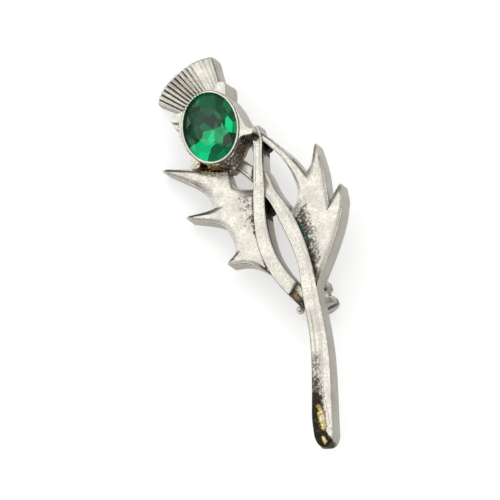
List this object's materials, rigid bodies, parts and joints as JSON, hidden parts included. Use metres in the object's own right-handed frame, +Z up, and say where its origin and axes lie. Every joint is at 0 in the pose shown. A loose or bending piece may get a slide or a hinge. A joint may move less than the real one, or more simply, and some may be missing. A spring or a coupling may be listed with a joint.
{
  "type": "thistle brooch",
  "caption": "Pin-back brooch shaped as a thistle: ribbed tuft, oval cut stone in a bezel cup, two crossing stem strands, spiked leaves and a long stem.",
  "frame": {"origin": "on the surface that the brooch lies on, under the middle of the floor it covers", "axes": "+Z up from that surface, +Y towards the head along the brooch's length as it lies, +X towards the right leaf"},
  "size_m": [0.0274, 0.0584, 0.0103],
  "materials": {
    "plated_metal": "bright plating over a slightly rough casting, dark in the hollows",
    "stone_glass": "polished facets over a foiled back",
    "pin_steel": "drawn wire"
  },
  "bodies": {
    "root": {"thistle_casting": "plated_metal", "oval_stone": "stone_glass", "pin_wire": "pin_steel", "catch_collar": "plated_metal"}
  },
  "joints": []
}
